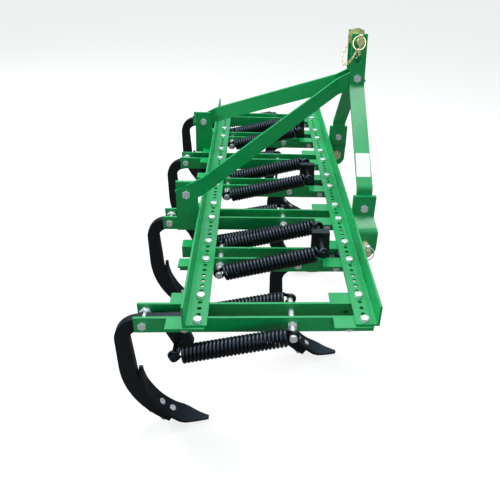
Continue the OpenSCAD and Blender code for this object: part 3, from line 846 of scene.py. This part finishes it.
def sky(strength):
    """Even studio dome: white to the camera, and in gloss dark near the horizon and bright overhead."""
    world = bpy.data.worlds.new("studio")
    bpy.context.scene.world = world
    world.use_nodes = True
    tree = world.node_tree
    back = tree.nodes["Background"]
    rays = add_node(tree, "ShaderNodeLightPath")
    way = add_node(tree, "ShaderNodeTexCoord").outputs["Generated"]
    rise = add_node(tree, "ShaderNodeSeparateXYZ", links={"Vector": way}).outputs["Z"]
    ramp = {"From Min": 0.2, "From Max": 0.55, "To Min": 0.03, "To Max": 1.5}
    gloss = add_node(tree, "ShaderNodeMapRange", ramp, {"Value": rise}).outputs["Result"]
    in_gloss = rays.outputs["Is Glossy Ray"]
    to_camera = rays.outputs["Is Camera Ray"]
    level = add_node(tree, "ShaderNodeMix", {2: strength}, {0: in_gloss, 3: gloss}).outputs[0]
    level = add_node(tree, "ShaderNodeMix", {3: 1.0}, {0: to_camera, 2: level}).outputs[0]
    tree.links.new(level, back.inputs["Strength"])
    tint = mixed(tree, to_camera, "#dcf2ff", "#ffffff")
    tree.links.new(tint, back.inputs["Color"])


def area_light(name, place, size, power, glossy=False):
    """Round panel aimed at the middle of the machine."""
    aim = Vector((0, 0, 0.4))
    deselect()
    bpy.ops.object.light_add(type="AREA", location=place)
    lamp = bpy.context.object
    lamp.name = name
    lamp.data.shape = "DISK"
    lamp.data.size = size
    lamp.data.energy = power
    lamp.visible_glossy = glossy
    lamp.rotation_euler = (aim - Vector(place)).to_track_quat("-Z", "Y").to_euler()
    return lamp


def camera():
    """Camera at the photograph's place, from its distance and three turns."""
    pitch = sizes().pitch
    x_rear, deck = bolt_line("crossbar_rear")
    yaw, tilt, roll = 0.094, 0.554, 0.056
    ahead = Vector((math.sin(yaw) * math.cos(tilt), math.cos(yaw) * math.cos(tilt), -math.sin(tilt)))
    right = Vector((math.cos(yaw), -math.sin(yaw), 0))
    up = right.cross(ahead)
    right, up = (math.cos(roll) * right + math.sin(roll) * up, math.cos(roll) * up - math.sin(roll) * right)
    data = bpy.data.cameras.new("camera")
    data.lens_unit = "MILLIMETERS"
    data.sensor_width = 36
    focal_pixels, width = 539.1, 500
    data.lens = focal_pixels / width * data.sensor_width
    centre_x, centre_y = 296.5, 241.2
    data.shift_x = 0.5 - centre_x / width
    data.shift_y = centre_y / width - 0.5
    data.clip_end = 100
    obj = bpy.data.objects.new("camera", data)
    bpy.context.scene.collection.objects.link(obj)
    # The camera's place in hole pitches from the middle of the rear crossbar's row of holes.
    ahead_of_row, along_row, above_deck = 5.578, -75.514, 35.975
    place = Vector((x_rear + ahead_of_row * pitch, along_row * pitch, deck + above_deck * pitch))
    turn = Matrix((right, up, -ahead)).transposed().to_4x4()
    obj.matrix_world = Matrix.Translation(place) @ turn
    bpy.context.scene.camera = obj
    return obj


# Operators

class CULTIVATOR_OT_stage(bpy.types.Operator):
    """Sets the camera, the pale floor and the soft studio light"""
    bl_idname = "cultivator.stage"
    bl_label = "Stage"

    def execute(self, context):
        context.scene.view_settings.view_transform = "Standard"
        camera()
        stage_floor()
        sky(0.28)
        area_light("sky_panel", (0, 0.3, 3.6), 3.0, 115, glossy=True)
        area_light("rear_panel", (-3.2, 1.1, 1.7), 2.0, 115)
        area_light("front_panel", (3.4, 0.6, 1.7), 2.0, 25)
        area_light("low_fill", (0.3, -4.2, 0.9), 3.0, 40)
        return {"FINISHED"}


class CULTIVATOR_OT_finishes(bpy.types.Operator):
    """Gives every carried-over solid its finish"""
    bl_idname = "cultivator.finishes"
    bl_label = "Finishes"

    def execute(self, context):
        slots = {s["node"]: s["material_slot"] for s in frame["record"]["subparts"]}
        for name, node in frame["nodes"].items():
            node.data.materials.clear()
            node.data.materials.append(finish(slots[name]))
        return {"FINISHED"}


class CULTIVATOR_OT_springs(bpy.types.Operator):
    """Makes each tine's pair of coil springs"""
    bl_idname = "cultivator.springs"
    bl_label = "Springs"

    def execute(self, context):
        for number, place, front in TINES:
            coil_springs(number, front)
        return {"FINISHED"}


class CULTIVATOR_OT_bolts(bpy.types.Operator):
    """Makes the bolts of the crossbars, cleats and shares"""
    bl_idname = "cultivator.bolts"
    bl_label = "Bolts"

    def execute(self, context):
        deck_bolts()
        cleat_bolts()
        pivot_nuts()
        for number, place, front in TINES:
            share_bolts(number)
        return {"FINISHED"}


class CULTIVATOR_OT_welds(bpy.types.Operator):
    """Lays the weld beads of the frame and the tines"""
    bl_idname = "cultivator.welds"
    bl_label = "Welds"

    def execute(self, context):
        frame_welds()
        for number, place, front in TINES:
            tine_welds(number, front)
        return {"FINISHED"}


class CULTIVATOR_OT_hitch(bpy.types.Operator):
    """Makes the linch pins, their chain and the blank label"""
    bl_idname = "cultivator.hitch"
    bl_label = "Hitch fittings"

    def execute(self, context):
        hitch_linch_pins()
        top_linch_pin()
        pin_chain()
        mast_label()
        return {"FINISHED"}


OPERATORS = [
    CULTIVATOR_OT_stage, CULTIVATOR_OT_finishes, CULTIVATOR_OT_springs,
    CULTIVATOR_OT_bolts, CULTIVATOR_OT_welds, CULTIVATOR_OT_hitch,
]


class CULTIVATOR_PT_panel(bpy.types.Panel):
    """Lists the steps that dress the cultivator"""
    bl_label = "Cultivator"
    bl_space_type = "VIEW_3D"
    bl_region_type = "UI"
    bl_category = "Cultivator"

    def draw(self, context):
        for operator in OPERATORS:
            self.layout.operator(operator.bl_idname)


def register():
    for cls in (CultivatorSizes, CultivatorColours, *OPERATORS, CULTIVATOR_PT_panel):
        bpy.utils.register_class(cls)
    bpy.types.Scene.cultivator_sizes = bpy.props.PointerProperty(type=CultivatorSizes)
    bpy.types.Scene.cultivator_colours = bpy.props.PointerProperty(type=CultivatorColours)


def unregister():
    del bpy.types.Scene.cultivator_colours
    del bpy.types.Scene.cultivator_sizes
    for cls in reversed((CultivatorSizes, CultivatorColours, *OPERATORS, CULTIVATOR_PT_panel)):
        bpy.utils.unregister_class(cls)


def main():
    register()
    bpy.ops.cultivator.stage()
    bpy.ops.cultivator.finishes()
    bpy.ops.cultivator.springs()
    bpy.ops.cultivator.bolts()
    bpy.ops.cultivator.welds()
    bpy.ops.cultivator.hitch()


if __name__ == "__main__":
    main()
